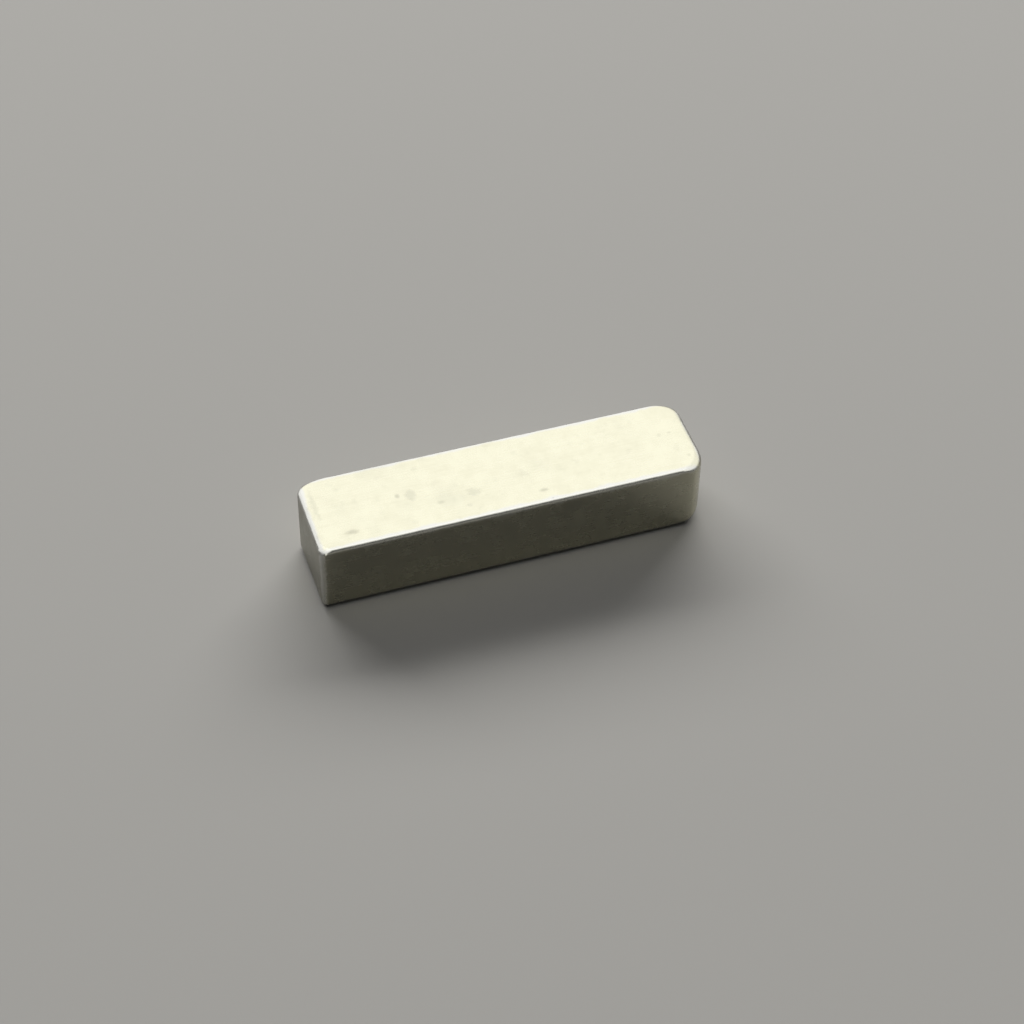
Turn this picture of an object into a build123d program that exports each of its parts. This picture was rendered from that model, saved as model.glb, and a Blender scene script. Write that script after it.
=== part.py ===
"""Parallel key with square ends, lying on its seat face.

A parallel key is a short steel bar that locks a hub to a shaft. It is one piece: a length of bright
drawn bar, cut square at both ends and tumbled, which eases every edge and wears the four upright
corners rounder than the rest.

Frame: +X runs along the key, +Y across it, +Z up. The origin is the centre of the seat face, the flat
underside that lies in the shaft's keyseat. Sizes are in millimetres.
"""

from build123d import *

import os

# The bar, as it is ordered: width between the two driving flanks, height, and cut length.
key_width = 10.0
key_height = 8.0
key_length = 40.0

# Easing of the long edges and of the top and bottom edges of both ends.
edge_radius = 0.45

# Upright corners, seen from above: how far the rounding reaches along the key, then across it.
# Tumbling has worn each of them by a different amount.
back_left_corner = (3.1, 1.5)
back_right_corner = (3.1, 2.1)
front_right_corner = (2.2, 2.7)
front_left_corner = (1.25, 1.1)


def corner_arc(corner_x, corner_y, reach):
    """The quarter ellipse that rounds one corner of the plan outline."""
    side_x = 1 if corner_x > 0 else -1
    side_y = 1 if corner_y > 0 else -1
    centre = (corner_x - side_x * reach[0], corner_y - side_y * reach[1])
    start_angle = {(1, 1): 0, (-1, 1): 90, (-1, -1): 180, (1, -1): 270}[(side_x, side_y)]
    return EllipticalCenterArc(centre, reach[0], reach[1], start_angle=start_angle, arc_size=90)


def plan_outline():
    """The key seen from above: a rectangle with each corner worn by its own amount."""
    half_length = key_length / 2
    half_width = key_width / 2
    arcs = [
        corner_arc(half_length, half_width, back_right_corner),
        corner_arc(-half_length, half_width, back_left_corner),
        corner_arc(-half_length, -half_width, front_left_corner),
        corner_arc(half_length, -half_width, front_right_corner),
    ]
    sides = [Line(arcs[i] @ 1, arcs[(i + 1) % len(arcs)] @ 0) for i in range(len(arcs))]
    return make_face(arcs + sides)


def parallel_key():
    """The finished key: the plan outline raised to the key's height, with its rims eased."""
    blank = extrude(plan_outline(), amount=key_height)
    rims = blank.edges().group_by(Axis.Z)[0] + blank.edges().group_by(Axis.Z)[-1]
    return fillet(rims, radius=edge_radius)


os.makedirs("parts", exist_ok=True)
key = parallel_key()
export_step(key, "parts/parallel_key.step")
print("parallel_key", key.bounding_box().size, "volume", round(key.volume, 1), "valid", key.is_valid)
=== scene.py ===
# %% [markdown]
# # A parallel key
# A parallel key is a short bar of bright steel. It lies half in a shaft and half in a hub, and locks
# the two together. This one has square ends and lies on its seat face.
# Everything is in metres, in the frame of the CAD part: X along the key, Y across it, Z up, and the
# origin at the centre of the seat face. The key's box is taken from the CAD part, so that the finer
# piece made here fits it exactly.

# %% Load the CAD part
import math

import bmesh
import bpy
from mathutils import Matrix, Vector


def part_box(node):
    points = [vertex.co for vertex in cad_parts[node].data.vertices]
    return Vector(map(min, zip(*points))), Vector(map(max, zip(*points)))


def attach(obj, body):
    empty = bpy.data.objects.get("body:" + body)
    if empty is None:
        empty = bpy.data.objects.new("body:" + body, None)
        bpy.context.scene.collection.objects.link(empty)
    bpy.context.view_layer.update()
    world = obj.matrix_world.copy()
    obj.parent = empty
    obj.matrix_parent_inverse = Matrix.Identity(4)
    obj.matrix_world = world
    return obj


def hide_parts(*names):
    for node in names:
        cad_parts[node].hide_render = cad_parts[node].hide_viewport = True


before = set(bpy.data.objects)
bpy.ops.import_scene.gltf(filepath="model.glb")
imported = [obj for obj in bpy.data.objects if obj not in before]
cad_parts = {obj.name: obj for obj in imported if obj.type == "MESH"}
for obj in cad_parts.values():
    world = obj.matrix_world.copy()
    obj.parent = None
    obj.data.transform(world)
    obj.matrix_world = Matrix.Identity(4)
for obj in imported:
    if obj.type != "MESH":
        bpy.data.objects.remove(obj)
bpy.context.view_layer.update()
low, high = (Vector(corner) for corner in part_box("parallel_key"))
size = high - low
middle = (low + high) / 2
MM = 0.001
near_enough = 0.01 * MM
print("key box, mm:", [round(side / MM, 2) for side in size])

# %% [markdown]
# ## The cut bar
# The real key starts as drawn bar, sawn or sheared to length. It could be drawn as an outline and
# extruded, but a block of the same size is as true and simpler. It is made at its place with its
# transform applied, so that the object sits at the origin.

# %% Cut the bar to length
bpy.ops.object.select_all(action="DESELECT")
bpy.ops.mesh.primitive_cube_add(size=1, location=middle, scale=size)
key = bpy.context.object
key.name = "key_bar"
bpy.ops.object.transform_apply(location=True, rotation=True, scale=True)
print("bar:", [round(side / MM, 2) for side in key.dimensions], "mm")

# %% [markdown]
# ## The four upright corners
# Tumbling knocks three of the upright corners round, each by its own amount, and leaves the front left
# one nearly crisp. The rounding also reaches further along the key than across it, so a plain bevel
# doesn't give it. The bar is squashed along X until the corner's two reaches are equal, that one edge
# is bevelled with a round profile, and the bar is stretched back: the quarter circle comes out as a
# quarter ellipse.

# %% Wear the upright corners
# side along X, side along Y, reach along the key and reach across it in mm
corner_wear = [
    (-1, 1, 3.1, 1.5),
    (1, 1, 2.7, 2.0),
    (1, -1, 2.2, 2.7),
    (-1, -1, 0.62, 0.58),
]


def pick_edges(wanted):
    """Select the edges whose two ends satisfy wanted, and nothing else."""
    bpy.ops.mesh.select_mode(type="EDGE")
    bpy.ops.mesh.select_all(action="DESELECT")
    mesh = bmesh.from_edit_mesh(key.data)
    for edge in mesh.edges:
        if wanted(edge.verts[0].co, edge.verts[1].co):
            edge.select_set(True)
    bmesh.update_edit_mesh(key.data)


def stretch_along(factor):
    """Stretch the whole bar along X, about its middle."""
    bpy.ops.mesh.select_all(action="SELECT")
    bpy.ops.transform.resize(value=(factor, 1, 1), center_override=(0, 0, 0))


bpy.ops.object.mode_set(mode="EDIT")
for side_x, side_y, along, across in corner_wear:
    squash = across / along
    stretch_along(squash)
    corner = Vector((side_x * size.x / 2 * squash, side_y * size.y / 2))
    pick_edges(lambda a, b: max((end.xy - corner).length for end in (a, b)) < near_enough)
    bpy.ops.mesh.bevel(offset=across * MM, segments=14, profile=0.5, affect="EDGES")
    stretch_along(1 / squash)
bpy.ops.object.mode_set(mode="OBJECT")
print("faces after the corners:", len(key.data.polygons))

# %% [markdown]
# ## The rims
# The rims of the top and seat faces are eased so that the key drops into its seat. Along the key they
# are only lightly broken, a little more at the seat face. Round the two ends they are worn rounder,
# and the right end most of all. One bevel for each rim would leave seams where they meet, so a single
# Bevel modifier rounds them all, and a bevel weight on each rim edge says how round it is, by which
# way that stretch of the rim runs.

# %% Ease the rims
# (along the key, round the left end, round the right end)
top_rims = (0.32 * MM, 0.45 * MM, 0.85 * MM)
seat_rims = (0.55 * MM, 0.55 * MM, 1.35 * MM)
front_right_knock = 0.3 * MM
widest = max(top_rims + seat_rims) + front_right_knock


def rim_radius(a, b):
    """How round the rim is between two neighbouring points of it."""
    along_side, round_left, round_right = top_rims if a.z > middle.z else seat_rims
    round_end = round_right if a.x + b.x > 0 else round_left
    way = (b - a).normalized()
    radius = along_side + (round_end - along_side) * abs(way.y)
    if a.y + b.y < 0 < a.x + b.x:
        radius += front_right_knock * abs(2 * way.x * way.y)
    return radius


rim_weight = key.data.attributes.new("bevel_weight_edge", "FLOAT", "EDGE")
for edge in key.data.edges:
    a, b = (key.data.vertices[i].co for i in edge.vertices)
    if abs(a.z - b.z) < near_enough:
        rim_weight.data[edge.index].value = rim_radius(a, b) / widest

rounding = key.modifiers.new("rim_rounding", "BEVEL")
rounding.limit_method = "WEIGHT"
rounding.width = widest
rounding.segments = 12
rounding.use_clamp_overlap = False
bpy.ops.object.modifier_apply(modifier=rounding.name)
print("faces after the rims:", len(key.data.polygons))

# %% [markdown]
# ## The struck tips of the left corner
# At the front of the left end the upright edge is still crisp, but both of its tips have been struck
# off. The top one is a small bright slope. Pushing the tip in would curl its borders, so each is one
# cut by a sloping plane, with the hole filled. Bisect welds points within its threshold, which starts
# at a tenth of a millimetre, so here it is set far smaller.

# %% Strike off the two tips
# height of the tip, and how far from it the slope reaches along X, Y and Z
struck_tips = [
    (high.z, (1.35 * MM, 1.25 * MM, 0.75 * MM)),
    (low.z, (0.9 * MM, 0.8 * MM, 0.6 * MM)),
]


def into_tip(point, tip_height, reach):
    """How deep a point lies behind the tip: 0 at the tip itself, 1 on the slope."""
    inward = point - Vector((low.x, low.y, tip_height))
    return sum(abs(inward[i]) / reach[i] for i in range(3))


bpy.ops.object.mode_set(mode="EDIT")
for tip_height, reach in struck_tips:
    rise = 1 if tip_height > middle.z else -1
    outward = Vector((-1 / reach[0], -1 / reach[1], rise / reach[2])).normalized()
    start = Vector((low.x + reach[0], low.y, tip_height))
    bpy.ops.mesh.select_all(action="SELECT")
    bpy.ops.mesh.bisect(
        plane_co=start, plane_no=outward, use_fill=True, clear_outer=True, threshold=0.001 * MM
    )
bpy.ops.object.mode_set(mode="OBJECT")
print("faces after the tips:", len(key.data.polygons))

# %% [markdown]
# ## A net fine enough to wear
# The faces are cut every quarter of a millimetre along X, Y and Z. The cuts don't change the shape,
# but give the dents and the slight unevenness of a tumbled surface points to move. Subdividing would
# round the ends' long triangles and cut the rims, which are fine already, far too often.

# %% Cut the faces into a fine net
net = 0.25 * MM
bpy.ops.object.mode_set(mode="EDIT")
bpy.ops.mesh.select_mode(type="FACE")
for axis in range(3):
    normal = [1.0 if i == axis else 0.0 for i in range(3)]
    for step in range(1, round(size[axis] / net)):
        place = [0.0, 0.0, 0.0]
        place[axis] = low[axis] + step * net
        bpy.ops.mesh.select_all(action="SELECT")
        bpy.ops.mesh.bisect(plane_co=place, plane_no=normal, threshold=0.02 * MM)
bpy.ops.object.mode_set(mode="OBJECT")
print("faces in the net:", len(key.data.polygons))

# %% [markdown]
# ## The borders of the struck tips
# A blow leaves no sharp line round its mark. A bevel on the cut's odd little faces would fail, but the
# net has put points all over the tips by now, so the points on and just beyond each slope are drawn
# towards their neighbours a few times, which rounds its borders.

# %% Round the borders of the struck tips
# how far past the slope the rounding goes: the slope itself is at 1
border = 1.5
bpy.ops.object.mode_set(mode="EDIT")
bpy.ops.mesh.select_mode(type="VERT")
bpy.ops.mesh.select_all(action="DESELECT")
mesh = bmesh.from_edit_mesh(key.data)
for vertex in mesh.verts:
    vertex.select_set(any(into_tip(vertex.co, *struck) < border for struck in struck_tips))
print("points round the tips:", sum(vertex.select for vertex in mesh.verts))
bmesh.update_edit_mesh(key.data)
bpy.ops.mesh.vertices_smooth(factor=0.5, repeat=8)
bpy.ops.object.mode_set(mode="OBJECT")

# %% [markdown]
# ## Unevenness and dents
# A tumbled bar isn't quite flat: its faces roll by about a hundredth of a millimetre, and its rims,
# which take the knocks, by a few hundredths. Two Displace modifiers give that, the second held to the
# rims by a vertex group. Both move the surface inwards only, so the key stays in its box.
# The dents are the few knocks large enough to see. Each is pushed in one by one: the points of a
# small oval move down, and proportional editing carries the push softly into the points around it.

# %% Make the surface uneven
rim_reach = 0.9 * MM
rim_points = key.vertex_groups.new(name="rims")
for vertex in key.data.vertices:
    offset = vertex.co - middle
    insets = sorted(size[i] / 2 - abs(offset[i]) for i in range(3))
    rim_points.add([vertex.index], max(0.0, 1 - insets[1] / rim_reach), "REPLACE")

for name, grain, depth, group in [
    ("rolling_faces", 4.0 * MM, 0.009 * MM, ""),
    ("knocked_rims", 0.9 * MM, 0.045 * MM, "rims"),
]:
    clouds = bpy.data.textures.new(name, "CLOUDS")
    clouds.noise_scale = grain
    clouds.noise_depth = 2
    uneven = key.modifiers.new(name, "DISPLACE")
    uneven.texture = clouds
    uneven.texture_coords = "LOCAL"
    uneven.mid_level = 1.0
    uneven.strength = depth
    uneven.vertex_group = group
    bpy.ops.object.modifier_apply(modifier=name)
key.vertex_groups.clear()
print("uneven bar:", [round(side / MM, 3) for side in key.dimensions], "mm")

# %% Push in the dents
# centre in mm, half length and half width in mm, turn in degrees, depth in mm; all on the top face
dents = [
    (-16.3, -3.15, 0.6, 0.25, 4, 0.02),
    (-10.8, 0.2, 0.25, 0.25, 0, 0.015),
    (-6.9, -1.9, 0.4, 0.12, 10, 0.01),
    (3.2, -3.3, 0.5, 0.12, 5, 0.013),
    (17.8, 0.6, 0.25, 0.2, 0, 0.012),
]
top_face = high.z - 0.1 * MM
bpy.ops.object.mode_set(mode="EDIT")
for x, y, half_length, half_width, turn, depth in dents:
    bpy.ops.mesh.select_all(action="DESELECT")
    mesh = bmesh.from_edit_mesh(key.data)
    back = Matrix.Rotation(-math.radians(turn), 2)
    for vertex in mesh.verts:
        local = back @ (vertex.co.xy / MM - Vector((x, y)))
        inside = (local.x / half_length) ** 2 + (local.y / half_width) ** 2 < 1
        vertex.select_set(inside and vertex.co.z > top_face)
    bmesh.update_edit_mesh(key.data)
    bpy.ops.transform.translate(
        value=(0, 0, -depth * MM),
        use_proportional_edit=True,
        proportional_edit_falloff="SMOOTH",
        proportional_size=0.35 * MM,
    )
bpy.ops.object.mode_set(mode="OBJECT")
print("dents:", len(dents))

# %% [markdown]
# ## Shading, checks and the key's place in the part
# The finished mesh is shaded smooth wherever its faces meet at less than 40 degrees, so that the
# rounded corners and rims show no flats. Counting the open edges shows whether the shell is closed,
# and a closed shell has a volume, which is positive when its faces point outwards. The key then rides
# on the part's one body and takes the place of the CAD part.

# %% Smooth the shading and measure
bpy.ops.object.shade_smooth_by_angle(angle=math.radians(40))
mesh = bmesh.new()
mesh.from_mesh(key.data)
open_edges = sum(1 for edge in mesh.edges if len(edge.link_faces) != 2)
triangles = sum(len(face.verts) - 2 for face in mesh.faces)
print("open edges:", open_edges, "triangles:", triangles)
print("volume, mm3:", round(mesh.calc_volume() / MM**3))
mesh.free()

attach(key, "root")
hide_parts("parallel_key")

# %% [markdown]
# ## The steel
# The key is plain carbon steel with a satin, tumbled skin: a warm grey, slightly mottled, with faint
# draw lines along the bar, cleaner rims, rougher ends, a few dull stains where oil and fingers have
# been and small dark pits. Painted shade darkens the ends and flanks and a line along the seat, and a
# faint line of painted shade lies inside the left rim. A painted image would do for one key only.
# Here all of it is worked out by nodes from the place on the key, in mm, so it stays true on every
# side. The first cells are small tools that keep the node trees short.

# %% Tools for building node trees


def put(tree, kind, label, at, settings=None, inputs=None):
    """Add one node, label it, and set its options and the constants on its sockets."""
    new = tree.nodes.new(kind)
    new.name = new.label = label
    new.location = at
    for name, value in (settings or {}).items():
        setattr(new, name, value)
    for socket, value in (inputs or {}).items():
        new.inputs[socket].default_value = value
    return new


def feed(tree, target, value):
    """Give a socket its value, from another socket or as a constant."""
    if hasattr(value, "is_output"):
        tree.links.new(value, target)
    else:
        target.default_value = value


def mix_colour(tree, label, at, share, first, second):
    """A colour mixed from first to second by share."""
    new = put(tree, "ShaderNodeMix", label, at, {"data_type": "RGBA"})
    for socket, value in (("Factor", share), ("A", first), ("B", second)):
        feed(tree, next(s for s in new.inputs if s.name == socket and s.enabled), value)
    return next(s for s in new.outputs if s.enabled)


def maths(tree, operation, label, at, *values):
    """A sum, product or other operation on one to three values."""
    new = put(tree, "ShaderNodeMath", label, at, {"operation": operation})
    for target, value in zip(new.inputs, values):
        feed(tree, target, value)
    return new.outputs["Value"]


def ramp(tree, label, at, value, start, end, low_end=0.0, high_end=1.0):
    """Value carried smoothly from start..end to low_end..high_end."""
    new = put(tree, "ShaderNodeMapRange", label, at, {"interpolation_type": "SMOOTHSTEP"})
    sockets = ("Value", "From Min", "From Max", "To Min", "To Max")
    for socket, given in zip(sockets, (value, start, end, low_end, high_end)):
        feed(tree, new.inputs[socket], given)
    return new.outputs["Result"]


# %% [markdown]
# ## One mark at a place
# A stain or a speck is an oval with a ragged, soft outline. There are many of them, so the oval is
# made once, as a node group, and each mark is that group with its own place and size. Noise is added
# to the distance from the centre, which bends the outline in and out.

# %% The effect: one mark at a place
# In: the place on the key and the mark's centre and half size, all in mm, how ragged its outline is
# and how soft. Out: a mask, 1 inside the mark.
mark_tree = bpy.data.node_groups.new("mark_at", "ShaderNodeTree")
for name, kind in [
    ("Place", "NodeSocketVector"),
    ("Centre", "NodeSocketVector"),
    ("Half Size", "NodeSocketVector"),
    ("Ragged", "NodeSocketFloat"),
    ("Soft", "NodeSocketFloat"),
]:
    mark_tree.interface.new_socket(name, in_out="INPUT", socket_type=kind)
mark_tree.interface.new_socket("Mask", in_out="OUTPUT", socket_type="NodeSocketFloat")


def vector_maths(tree, operation, label, at, first, second=None, result="Vector"):
    """An operation on one or two vectors."""
    new = put(tree, "ShaderNodeVectorMath", label, at, {"operation": operation})
    for target, value in zip(new.inputs, (first, second)):
        if value is not None:
            feed(tree, target, value)
    return new.outputs[result]


given = put(mark_tree, "NodeGroupInput", "Given", (-900, 0)).outputs
bent = put(mark_tree, "ShaderNodeTexNoise", "Bends", (-500, -250), None, {"Scale": 2.2, "Detail": 3.0})
mark_tree.links.new(given["Place"], bent.inputs["Vector"])
swing = maths(mark_tree, "SUBTRACT", "Swing", (-300, -250), bent.outputs["Fac"], 0.5)

off_centre = vector_maths(
    mark_tree, "SUBTRACT", "From centre", (-700, 0), given["Place"], given["Centre"]
)
in_halves = vector_maths(
    mark_tree, "DIVIDE", "In half sizes", (-500, 0), off_centre, given["Half Size"]
)
reach = vector_maths(mark_tree, "LENGTH", "Reach", (-300, 0), in_halves, None, "Value")
ragged = maths(mark_tree, "MULTIPLY_ADD", "Ragged reach", (-100, 0), swing, given["Ragged"], reach)
inner = maths(mark_tree, "SUBTRACT", "Inner reach", (-100, -250), 1.0, given["Soft"])
fade = ramp(mark_tree, "Fade", (100, 0), ragged, inner, 1.0, 1.0, 0.0)
out = put(mark_tree, "NodeGroupOutput", "Out", (300, 0))
mark_tree.links.new(fade, out.inputs["Mask"])
print("mark group nodes:", len(mark_tree.nodes))

# %% [markdown]
# ## The grain of the steel
# Five noises make the skin: a mottle, broad dull patches, faint blotches, the draw lines and the fine
# tumbled texture. The draw lines are the same noise as the rest, only stretched along the bar and
# squeezed across it by a Mapping node, as drawing the bar through its die stretched them.

# %% Start the steel with its grain
steel = bpy.data.materials.new("key_steel")
steel.use_nodes = True
tree = steel.node_tree
shader = tree.nodes["Principled BSDF"]
shader.inputs["Metallic"].default_value = 1.0

where = put(tree, "ShaderNodeTexCoord", "Where", (-2200, 0))
per_mm = {"Scale": (1 / MM, 1 / MM, 1 / MM)}
place = put(tree, "ShaderNodeMapping", "Place in mm", (-2000, 0), None, per_mm)
tree.links.new(where.outputs["Object"], place.inputs["Vector"])
mm = place.outputs["Vector"]


def noise(label, at, scale, detail, rough=0.5, vector=mm):
    """Noise over the key, with scale features per mm."""
    values = {"Scale": scale, "Detail": detail, "Roughness": rough}
    new = put(tree, "ShaderNodeTexNoise", label, at, None, values)
    tree.links.new(vector, new.inputs["Vector"])
    return new.outputs["Fac"]


by_drawing = {"Scale": (0.07, 5.0, 5.0)}
drawn = put(tree, "ShaderNodeMapping", "Drawn out", (-1700, 0), None, by_drawing)
tree.links.new(mm, drawn.inputs["Vector"])
mottle = noise("Mottle", (-1500, 500), 0.55, 6, 0.6)
cloudy = noise("Dull patches", (-1500, 250), 0.16, 4)
blotches = noise("Faint blotches", (-1500, 380), 0.75, 2)
lines = noise("Draw lines", (-1500, 0), 1.0, 5, 0.65, drawn.outputs["Vector"])
micro = noise("Tumbled skin", (-1500, -250), 3.5, 4, 0.6)
print("nodes for the grain:", len(tree.nodes))

# %% [markdown]
# ## Where the faces, rims, seat and pits are
# The depth of a point below each side of the key's box says where it is: a point on a face has one
# depth near zero, and a point on a rim has two. Ramps on those depths give masks for the rims, the
# ends and the flanks, with the mottle added so that no border is a ruled line. The pits are small
# discs at the centres of some of the cells of a Voronoi pattern.

# %% Mask the rims, the ends and the flanks


def separate(tree, label, at, vector):
    """The X, Y and Z of a vector, as three outputs."""
    new = put(tree, "ShaderNodeSeparateXYZ", label, at)
    tree.links.new(vector, new.inputs["Vector"])
    return new.outputs


from_middle = vector_maths(tree, "SUBTRACT", "From middle", (-1800, -700), mm, middle / MM)
outward_of = vector_maths(tree, "ABSOLUTE", "Outward", (-1650, -700), from_middle)
inset = vector_maths(tree, "SUBTRACT", "Depth", (-1500, -700), size / 2 / MM, outward_of)
depth = separate(tree, "Depth on each axis", (-1350, -700), inset)
near = maths(tree, "MINIMUM", "Nearer of X and Y", (-1200, -650), depth["X"], depth["Y"])
far = maths(tree, "MAXIMUM", "Further of X and Y", (-1200, -800), depth["X"], depth["Y"])
far = maths(tree, "MINIMUM", "Further, or Z", (-1050, -800), far, depth["Z"])
to_rim = maths(tree, "MAXIMUM", "Distance to a rim", (-900, -700), near, far)
uneven_rim = maths(tree, "MULTIPLY_ADD", "Uneven rim", (-750, -700), mottle, -0.9, to_rim)
rim_mask = ramp(tree, "Rim mask", (-600, -700), uneven_rim, -0.15, 0.25, 1.0, 0.0)
end_mask = ramp(tree, "End mask", (-1100, -900), depth["X"], 0.1, 0.6, 0.85, 0.0)
side_mask = ramp(tree, "Side mask", (-900, -900), depth["Y"], 0.1, 0.3, 0.35, 0.0)
print("nodes with the rims and sides:", len(tree.nodes))

# %% Mask the pits and the painted contact shade
cells = put(tree, "ShaderNodeTexVoronoi", "Pit cells", (-1500, -450), {"feature": "F1"}, {"Scale": 0.5})
tree.links.new(mm, cells.inputs["Vector"])
chosen = put(tree, "ShaderNodeSeparateColor", "Which cells", (-1300, -500))
tree.links.new(cells.outputs["Color"], chosen.inputs["Color"])
pit_size = ramp(tree, "Pit size", (-1100, -500), chosen.outputs["Red"], 0.5, 1.0, 0.0, 0.05)
pit_edge = maths(
    tree, "SUBTRACT", "Inside a pit", (-900, -450), pit_size, cells.outputs["Distance"]
)
pits = ramp(tree, "Pits", (-700, -450), pit_edge, 0.0, 0.03, 0.0, 0.5)

upright = separate(tree, "Height on the key", (-700, -350), mm)
# painted shade: darker towards the seat face, standing in for the shade where the key meets the floor
contact_shade_edge = maths(tree, "MULTIPLY_ADD", "Ragged grime", (-600, -350), mottle, -0.5, upright["Z"])
painted_contact_shade = ramp(tree, "Painted contact shade at the seat", (-500, -350), contact_shade_edge, -0.05, 0.4, 0.75, 0.0)
print("nodes with the pits and grime:", len(tree.nodes))

# %% [markdown]
# ## The marks that stand out
# These are the stains and specks that make this key this one, and one line of painted shade: dull
# smudges, a faint painted shade line inside the left rim, and darker specks in the dents. Each is one
# mark group on the top face.

# %% Place the smudges and specks
# centre X and Y in mm, half size along X and Y in mm, ragged, soft, strength
stains_and_shade_line = [
    (-9.5, -0.1, 0.7, 1.2, 1.0, 0.7, 0.30),
    (-3.5, -1.5, 1.0, 0.8, 1.1, 0.7, 0.28),
    (-4.3, -3.1, 0.5, 0.35, 0.8, 0.7, 0.22),
    (2.0, -0.5, 0.8, 0.8, 1.2, 0.8, 0.15),
    (2.0, 2.6, 0.4, 0.4, 0.8, 0.8, 0.15),
    (-8.1, 3.3, 0.5, 0.4, 0.8, 0.8, 0.15),
    (-12.0, 3.2, 0.5, 0.4, 0.8, 0.8, 0.12),
    (-16.2, 2.8, 0.5, 0.4, 0.8, 0.8, 0.15),
    # painted shade: a faint dark line inside the left rim, standing in for the shading where the top
    # turns into the rounded rim
    (-18.9, 1.2, 0.42, 3.2, 1.5, 0.9, 0.24),
    (16.7, 0.5, 0.35, 0.35, 0.8, 0.8, 0.2),
]
specks = [
    (-16.3, -3.15, 0.9, 0.45, 0.5, 0.8, 0.26),
    (-10.8, 0.2, 0.38, 0.42, 0.4, 0.8, 0.26),
    (-6.9, -1.9, 0.55, 0.3, 0.4, 0.8, 0.16),
    (3.2, -3.3, 0.7, 0.32, 0.4, 0.8, 0.24),
    (17.8, 0.6, 0.3, 0.22, 0.4, 0.7, 0.15),
    (18.6, -3.0, 0.25, 0.25, 0.4, 0.7, 0.12),
]


def combined(marks, label, left, top, half_height):
    """One mask from a list of marks on the top face: the strongest mark wins."""
    total = 0.0
    for i, (x, y, half_x, half_y, ragged, soft, strength) in enumerate(marks, start=1):
        level = top - 60 * i
        values = {
            "Centre": (x, y, high.z / MM),
            "Half Size": (half_x, half_y, half_height),
            "Ragged": ragged,
            "Soft": soft,
        }
        group = {"node_tree": mark_tree, "hide": True}
        spot = put(tree, "ShaderNodeGroup", f"{label} {i}", (left, level), group, values)
        tree.links.new(mm, spot.inputs["Place"])
        mask = spot.outputs["Mask"]
        weighed = maths(tree, "MULTIPLY", f"{label} {i} share", (left + 200, level), mask, strength)
        total = maths(tree, "MAXIMUM", f"{label} up to {i}", (left + 400, level), total, weighed)
    return total


stain_and_shade_line_mask = combined(stains_and_shade_line, "Stain and shade line", -1500, -1100, 1.0)
speck_mask = combined(specks, "Speck", -1500, -1700, 0.6)
print("marks:", len(stains_and_shade_line) + len(specks))

# %% [markdown]
# ## Colour, roughness and relief
# The masks are laid over one another: first the bare steel with its mottle and lines, then the painted
# shade on the ends and flanks, the rims rubbed clean, the dull stains with the painted shade line,
# and the dark pits, specks and painted contact shade at the seat last. The same masks roughen the
# steel where it is dull, and a faint relief bends the reflections a little. The relief is a few
# thousandths of a millimetre, too fine for geometry.

# %% Colour the steel
dull = ramp(tree, "Dull", (-1200, 250), cloudy, 0.52, 0.75, 0.0, 0.22)
faint = ramp(tree, "Faint", (-1200, 380), blotches, 0.58, 0.72, 0.0, 0.09)
dull = maths(tree, "ADD", "Dull or blotched", (-1100, 300), dull, faint)
# the dull stains, with the painted shade line among them
dull = maths(tree, "MAXIMUM", "Dull or smudged", (-1000, 250), dull, stain_and_shade_line_mask)
dark = maths(tree, "MAXIMUM", "Pit or speck", (-500, -450), pits, speck_mask)
dark = maths(tree, "MAXIMUM", "Pit, speck or grime", (-400, -400), dark, painted_contact_shade)

lined = maths(tree, "MULTIPLY_ADD", "Mottle and lines", (-1350, 500), lines, 0.5, mottle)
mottled = ramp(tree, "Mottled", (-1200, 500), lined, 0.45, 1.05)
darker_steel, lighter_steel = (0.485, 0.47, 0.365, 1), (0.535, 0.522, 0.41, 1)
colour = mix_colour(tree, "Bare steel", (-900, 600), mottled, darker_steel, lighter_steel)

# painted shade: the ends and flanks are darkened, standing in for the shade the light leaves on the
# key's sides
painted_side_shade = maths(tree, "MAXIMUM", "Ends and flanks to shade", (-700, -900), end_mask, side_mask)
upward = maths(tree, "SUBTRACT", "Away from the sides", (-600, -900), 1.0, side_mask)
rim_share = maths(tree, "MULTIPLY", "Rim share", (-450, -700), rim_mask, upward)
for label, at, share, laid_on in [
    # painted shade colour for the ends and flanks
    ("Painted shade on ends and flanks", (-800, 750), painted_side_shade, (0.225, 0.22, 0.178, 1)),
    ("Brighter rims", (-700, 600), rim_share, (0.497, 0.495, 0.466, 1)),
    ("Dull patches", (-500, 600), dull, (0.31, 0.31, 0.25, 1)),
    # dark pits and specks, and the painted contact shade at the seat
    ("Dark pits, specks and contact shade", (-300, 600), dark, (0.08, 0.08, 0.065, 1)),
]:
    colour = mix_colour(tree, label, at, share, colour, laid_on)
tree.links.new(colour, shader.inputs["Base Color"])
print("nodes with the colour:", len(tree.nodes))

# %% Roughen it and give it relief
rough = ramp(tree, "Satin", (-900, 200), mottle, 0.2, 0.8, 0.15, 0.25)
for label, at, mask, strength in [
    ("Lines roughen", (-700, 200), lines, 0.12),
    ("Dull is rougher", (-500, 200), dull, 0.18),
    ("Ends are rougher", (-400, 350), end_mask, 0.06),
    ("Pits are rough", (-300, 200), dark, 0.25),
]:
    rough = maths(tree, "MULTIPLY_ADD", label, at, mask, strength, rough)
tree.links.new(rough, shader.inputs["Roughness"])

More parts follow.
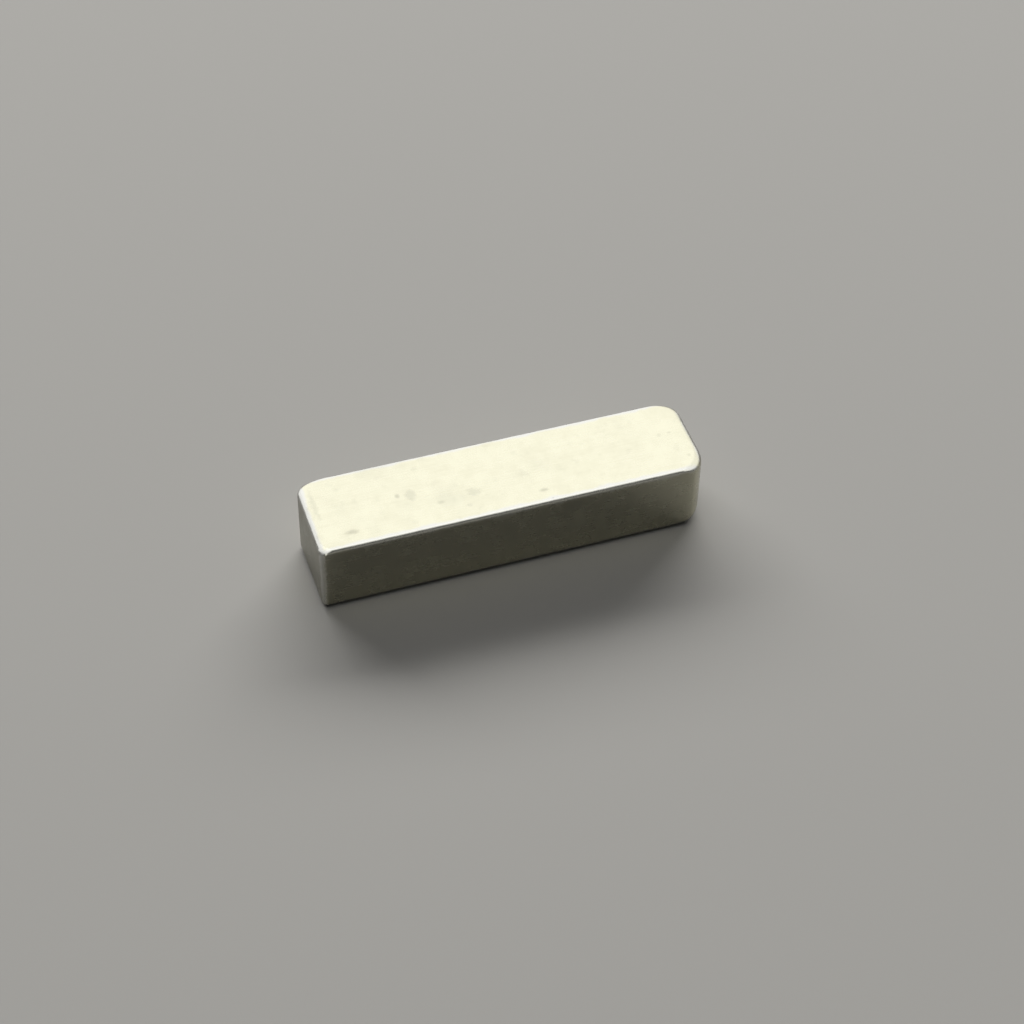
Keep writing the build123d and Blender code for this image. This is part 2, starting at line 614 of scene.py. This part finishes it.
height = maths(tree, "MULTIPLY", "Line height", (-900, -100), lines, 0.7)
height = maths(tree, "MULTIPLY_ADD", "Skin height", (-700, -100), micro, 0.5, height)
height = maths(tree, "MULTIPLY_ADD", "Pit depth", (-500, -100), dark, -1.2, height)
relief = {"Strength": 0.6, "Distance": 0.008 * MM}
bump = put(tree, "ShaderNodeBump", "Relief", (-300, -100), None, relief)
tree.links.new(height, bump.inputs["Height"])
tree.links.new(bump.outputs["Normal"], shader.inputs["Normal"])
key.data.materials.clear()
key.data.materials.append(steel)
print("steel nodes:", len(tree.nodes))

# %% [markdown]
# ## Where it is shown
# The key lies on a plain, pale floor, matt so that it takes a soft shadow and no gloss. A bent
# backdrop isn't needed, because the camera looks down and sees nothing but floor.

# %% Lay the floor
bpy.ops.object.select_all(action="DESELECT")
bpy.ops.mesh.primitive_plane_add(size=3, location=(0, 0, low.z))
floor = bpy.context.object
floor.name = "floor"
pale = bpy.data.materials.new("pale_floor")
pale.use_nodes = True
for socket, value in {
    "Base Color": (0.5, 0.493, 0.473, 1),
    "Roughness": 0.9,
    "Specular IOR Level": 0.1,
}.items():
    pale.node_tree.nodes["Principled BSDF"].inputs[socket].default_value = value
floor.data.materials.append(pale)
print("floor:", floor.dimensions.x, "m across")

# %% [markdown]
# ## The camera
# A long lens far back keeps the key's edges nearly parallel. The camera looks down at it steeply, from
# the front and a little from the left, and is turned by less than a degree about its own axis. It is
# built from its three axes, which is surer than a tracking constraint when the picture is tilted too.

# %% Set the camera
view_elevation, view_turn, view_tilt = 46.08, 18.79, -0.94
distance, shift_right, shift_up = 0.25294, 0.001015, 0.001810

elevation, tilt = math.radians(view_elevation), math.radians(view_tilt)
forward = Vector((0, math.cos(elevation), -math.sin(elevation)))
right = Vector((1, 0, 0))
up = Vector((0, math.sin(elevation), math.cos(elevation)))
eye = right * shift_right + up * shift_up - forward * distance
rolled_right = right * math.cos(tilt) - up * math.sin(tilt)
rolled_up = right * math.sin(tilt) + up * math.cos(tilt)
turned = Matrix.Rotation(-math.radians(view_turn), 4, "Z")
axes_of_view = Matrix((rolled_right, rolled_up, -forward)).transposed().to_4x4()

bpy.ops.object.camera_add()
camera = bpy.context.object
camera.matrix_world = turned @ Matrix.Translation(eye) @ axes_of_view
camera.data.sensor_width = 36
camera.data.lens = 87.9
camera.data.dof.use_dof = False
bpy.context.scene.camera = camera
print("camera at, mm:", [round(v / MM, 1) for v in camera.matrix_world.translation])

# %% [markdown]
# ## The lamps
# Steel shows what it mirrors, so the lamps are placed as mirrors need them. One soft lamp stands
# behind the key, where its bright top face mirrors it towards the camera. A second, wide lamp stands
# low behind it: it lights the floor and lays a soft shadow in front of the key, and the front face is
# dark because it mirrors that shadow. A weak lamp overhead keeps the shadow from going black.

# %% Set the lamps


def soft_lamp(
    name, azimuth, height_angle, away, width, depth, power, colour=(1, 1, 1), in_mirrors=True
):
    """A rectangular lamp aimed at the key. Azimuth runs from straight behind it towards the right."""
    azimuth, height_angle = math.radians(azimuth), math.radians(height_angle)
    level = math.cos(height_angle)
    offset = Vector(
        (math.sin(azimuth) * level, math.cos(azimuth) * level, math.sin(height_angle))
    )
    bpy.ops.object.light_add(type="AREA", location=offset * away)
    lamp = bpy.context.object
    lamp.name = name
    lamp.data.shape = "RECTANGLE"
    lamp.data.size, lamp.data.size_y = width, depth
    lamp.data.energy = power
    lamp.data.color = colour
    lamp.rotation_euler = offset.to_track_quat("Z", "Y").to_euler()
    lamp.visible_glossy = in_mirrors
    print(name, "at, mm:", [round(v / MM) for v in lamp.location])


soft_lamp("back_softbox", view_turn, 46, away=0.8, width=0.75, depth=0.56, power=0.37)
soft_lamp(
    "floor_lamp", 12, 29, away=1.5, width=2.4, depth=0.6, power=36,
    colour=(1.0, 0.99, 0.97), in_mirrors=False,
)
soft_lamp("overhead_softbox", view_turn, 92, away=0.8, width=0.9, depth=0.6, power=0.85)

# %% [markdown]
# ## The room
# The room is dim, so that the floor keeps the key's shadow, but what the steel mirrors is a white
# wall and ceiling behind and above the key that fade out towards the camera. A real wall would need
# lighting of its own. Here the world's strength is worked out from the direction, and Light Path's Is
# Glossy Ray gives it to mirrored rays only.

# %% Light the room
world = bpy.data.worlds.new("room")
world.use_nodes = True
room = world.node_tree
background = room.nodes["Background"]
wall_turn, wall_height = math.radians(view_turn), math.radians(60)
middle_of_wall = (
    math.sin(wall_turn) * math.cos(wall_height),
    math.cos(wall_turn) * math.cos(wall_height),
    math.sin(wall_height),
)
toward = put(room, "ShaderNodeTexCoord", "Direction", (-900, 0)).outputs["Generated"]
behind = vector_maths(
    room, "DOT_PRODUCT", "How far behind and above", (-700, 0), toward, middle_of_wall, "Value"
)
wall = ramp(room, "White wall and ceiling", (-500, 0), behind, 0.0, 0.35, 0.2, 1.65)
path = put(room, "ShaderNodeLightPath", "Which ray", (-500, 300))
mirrored = put(room, "ShaderNodeMapRange", "Mirrored or not", (-300, 0), None, {"To Min": 0.04})
room.links.new(path.outputs["Is Glossy Ray"], mirrored.inputs["Value"])
room.links.new(wall, mirrored.inputs["To Max"])
room.links.new(mirrored.outputs["Result"], background.inputs["Strength"])
background.inputs["Color"].default_value = (1.0, 1.0, 1.0, 1)
bpy.context.scene.world = world
bpy.context.scene.view_settings.view_transform = "Standard"
print("room nodes:", len(room.nodes))
